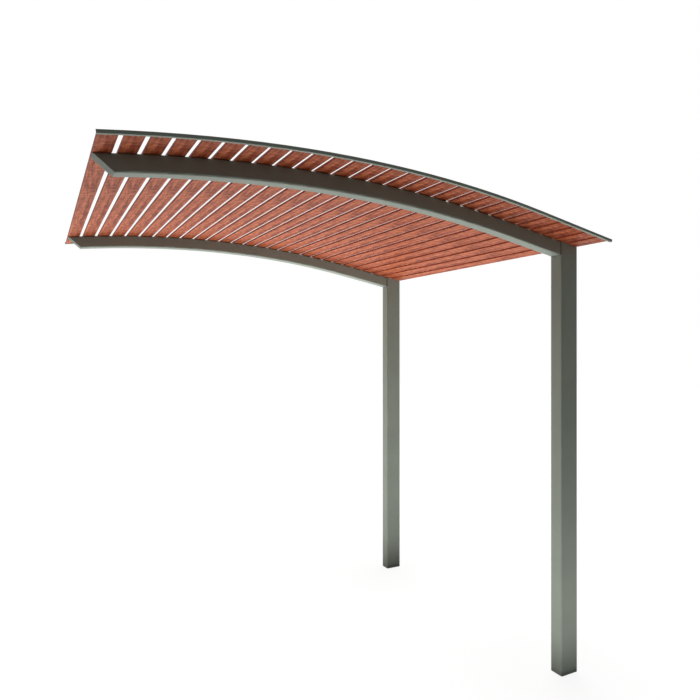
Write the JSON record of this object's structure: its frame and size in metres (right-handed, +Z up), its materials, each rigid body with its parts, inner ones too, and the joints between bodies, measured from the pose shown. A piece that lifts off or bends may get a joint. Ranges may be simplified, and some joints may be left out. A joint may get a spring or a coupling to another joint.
{
  "type": "cantilevered pergola",
  "caption": "Open garden pergola: two steel posts along one side carry two curved box beams and an arched deck of wooden slats closed by thin steel angles.",
  "frame": {"origin": "centre of the front post's foot, on the ground", "axes": "+X along the beams from the free end towards the posts, +Y from the front post to the rear post, +Z up"},
  "size_m": [3.0997, 2.91, 3.1837],
  "materials": {
    "frame_steel": "semi-gloss grey-green powder coat",
    "slat_wood": "reddish-brown oiled hardwood, grain along the slat"
  },
  "bodies": {
    "root": {"front_post": "frame_steel", "rear_post": "frame_steel", "front_foot_plate": "frame_steel", "rear_foot_plate": "frame_steel", "front_head_plate": "frame_steel", "rear_head_plate": "frame_steel", "front_beam": "frame_steel", "rear_beam": "frame_steel", "front_end_plate": "frame_steel", "rear_end_plate": "frame_steel", "front_edge_angle": "frame_steel", "rear_edge_angle": "frame_steel", "slat_01": "slat_wood", "slat_02": "slat_wood", "slat_03": "slat_wood", "slat_04": "slat_wood", "slat_05": "slat_wood", "slat_06": "slat_wood", "slat_07": "slat_wood", "slat_08": "slat_wood", "slat_09": "slat_wood", "slat_10": "slat_wood", "slat_11": "slat_wood", "slat_12": "slat_wood", "slat_13": "slat_wood", "slat_14": "slat_wood", "slat_15": "slat_wood", "slat_16": "slat_wood", "slat_17": "slat_wood", "slat_18": "slat_wood", "slat_19": "slat_wood", "slat_20": "slat_wood", "slat_21": "slat_wood", "slat_22": "slat_wood", "slat_23": "slat_wood", "slat_24": "slat_wood", "slat_25": "slat_wood", "slat_26": "slat_wood", "slat_27": "slat_wood", "slat_28": "slat_wood"}
  },
  "joints": []
}
